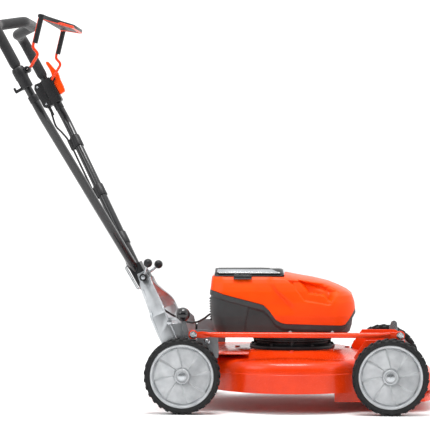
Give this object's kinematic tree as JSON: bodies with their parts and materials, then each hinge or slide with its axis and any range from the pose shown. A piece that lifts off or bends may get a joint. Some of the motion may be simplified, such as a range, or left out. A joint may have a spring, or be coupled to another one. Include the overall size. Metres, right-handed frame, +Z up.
{
  "type": "walk-behind lawn mower",
  "caption": "Cordless walk-behind rotary mower: pressed bowl deck on cranked axles with a single height lever, battery motor housing, folding tubular handle, bail and start lever.",
  "frame": {"origin": "on the ground, centred under the whole machine's bounding box", "axes": "+X towards the front of the deck, +Y to the machine's left, +Z up; the handle rises towards -X"},
  "size_m": [1.239, 0.544, 1.1104],
  "materials": {
    "orange_paint": "gloss powder coat over pressed steel",
    "orange_plastic": "fine moulded texture, satin",
    "grey_plastic": "fine moulded texture, satin",
    "black_plastic": "satin moulded",
    "gloss_lid": "dark metallic gloss",
    "black_paint": "gloss black powder coat on tube, satin on the motor",
    "grey_paint": "satin powder coat",
    "zinc": "bright zinc plate",
    "steel": "machined and plated",
    "foam": "closed-cell foam sleeve",
    "tyre": "moulded rubber",
    "rim": "silver-grey moulded, satin"
  },
  "bodies": {
    "deck": {"deck_shell": "orange_paint", "rear_bracket_r": "grey_paint", "rear_bracket_l": "grey_paint", "front_bracket_r": "orange_paint", "front_bracket_l": "orange_paint", "angle_plate_r": "zinc", "angle_plate_l": "zinc", "tilt_rod": "zinc", "motor_base": "black_paint", "motor_can": "black_paint", "lower_housing": "grey_plastic", "top_cover": "orange_plastic", "battery_pack": "black_plastic", "battery_rail": "black_plastic", "motor_controller": "black_plastic", "motor_cable": "tyre"},
    "blade_set": {"motor_shaft": "steel", "blade_adapter": "steel", "blade": "steel", "blade_bolt": "steel"},
    "lid": {"battery_lid": "gloss_lid"},
    "rear_crank": {"rear_axle": "zinc", "height_lever": "grey_paint", "height_knob": "black_plastic", "rear_link_bolt": "zinc"},
    "front_crank": {"front_axle": "zinc", "front_link_bolt": "zinc"},
    "link": {"link_bar": "orange_paint"},
    "wheel_rear_r": {"tyre_rear_r": "tyre", "rim_rear_r": "rim"},
    "wheel_rear_l": {"tyre_rear_l": "tyre", "rim_rear_l": "rim"},
    "wheel_front_r": {"tyre_front_r": "tyre", "rim_front_r": "rim"},
    "wheel_front_l": {"tyre_front_l": "tyre", "rim_front_l": "rim"},
    "handle_base": {"handle_bracket_r": "zinc", "handle_bracket_l": "zinc", "tilt_bolt_r": "zinc", "tilt_bolt_l": "zinc", "fold_bolt": "zinc"},
    "handle": {"fold_block": "black_plastic", "handle_leg_r": "black_paint", "handle_leg_l": "black_paint", "upper_handle": "black_paint", "foam_grip": "foam", "bail_clamp": "black_plastic", "control_box_front": "black_plastic", "control_box_rear": "black_plastic", "control_cable": "tyre", "cable_clip_1": "black_plastic", "cable_clip_2": "black_plastic", "cable_clip_3": "black_plastic"},
    "clamp_r": {"clamp_lever_r": "black_plastic"},
    "clamp_l": {"clamp_lever_l": "black_plastic"},
    "handle_lock": {"lock_wire": "zinc"},
    "bail": {"bail_wire": "orange_paint", "bail_cover": "black_plastic"},
    "start_lever": {"start_lever": "orange_plastic"}
  },
  "joints": [
    {"name": "blade_spin", "type": "hinge", "parent": "deck", "child": "blade_set", "pos_m": [0.219, 0, 0.1], "axis": [0, 0, 1], "continuous": true},
    {"name": "battery_lid_hinge", "type": "hinge", "parent": "deck", "child": "lid", "pos_m": [0.098, 0.104, 0.377], "axis": [1, 0, 0], "range_deg": [-100, 0]},
    {"name": "height_adjust", "type": "hinge", "parent": "deck", "child": "rear_crank", "pos_m": [-0.053, 0, 0.14], "axis": [0, 1, 0], "range_deg": [0, 45]},
    {"name": "front_crank_turn", "type": "hinge", "parent": "deck", "child": "front_crank", "pos_m": [0.519, 0, 0.14], "axis": [0, 1, 0], "range_deg": [0, 45]},
    {"name": "link_turn", "type": "hinge", "parent": "rear_crank", "child": "link", "pos_m": [-0.053, -0.2105, 0.2155], "axis": [0, 1, 0], "range_deg": [-45, 0]},
    {"name": "wheel_rear_r_spin", "type": "hinge", "parent": "rear_crank", "child": "wheel_rear_r", "pos_m": [-0.081, -0.2495, 0.105], "axis": [0, 1, 0], "continuous": true},
    {"name": "wheel_rear_l_spin", "type": "hinge", "parent": "rear_crank", "child": "wheel_rear_l", "pos_m": [-0.081, 0.2495, 0.105], "axis": [0, 1, 0], "continuous": true},
    {"name": "wheel_front_r_spin", "type": "hinge", "parent": "front_crank", "child": "wheel_front_r", "pos_m": [0.491, -0.2495, 0.105], "axis": [0, 1, 0], "continuous": true},
    {"name": "wheel_front_l_spin", "type": "hinge", "parent": "front_crank", "child": "wheel_front_l", "pos_m": [0.491, 0.2495, 0.105], "axis": [0, 1, 0], "continuous": true},
    {"name": "handle_tilt", "type": "hinge", "parent": "deck", "child": "handle_base", "pos_m": [-0.109, 0, 0.167], "axis": [0, 1, 0], "range_deg": [0, 12]},
    {"name": "handle_fold", "type": "hinge", "parent": "handle_base", "child": "handle", "pos_m": [-0.207, 0, 0.366], "axis": [0, 1, 0], "range_deg": [0, 88]},
    {"name": "clamp_lever_r_turn", "type": "hinge", "parent": "handle_base", "child": "clamp_r", "pos_m": [-0.207, -0.052, 0.366], "axis": [0, 1, 0], "range_deg": [0, 80]},
    {"name": "clamp_lever_l_turn", "type": "hinge", "parent": "handle_base", "child": "clamp_l", "pos_m": [-0.207, 0.052, 0.366], "axis": [0, 1, 0], "range_deg": [0, 50]},
    {"name": "handle_lock_turn", "type": "hinge", "parent": "handle", "child": "handle_lock", "pos_m": [-0.2543, 0, 0.403], "axis": [0, 1, 0], "range_deg": [0, 40]},
    {"name": "bail_squeeze", "type": "hinge", "parent": "handle", "child": "bail", "pos_m": [-0.5089, 0, 0.9497], "axis": [0, 1, 0], "range_deg": [-17, 0], "stiffness_Nm_per_rad": 2, "springref_deg": 20.05},
    {"name": "start_lever_squeeze", "type": "hinge", "parent": "handle", "child": "start_lever", "pos_m": [-0.5044, 0.25, 0.9498], "axis": [0, 1, 0], "range_deg": [-8, 0], "stiffness_Nm_per_rad": 0.6, "springref_deg": 11.46}
  ],
  "couplings": [
    {"joint": "front_crank_turn", "follows": "height_adjust", "ratio": 1},
    {"joint": "link_turn", "follows": "height_adjust", "ratio": -1}
  ]
}
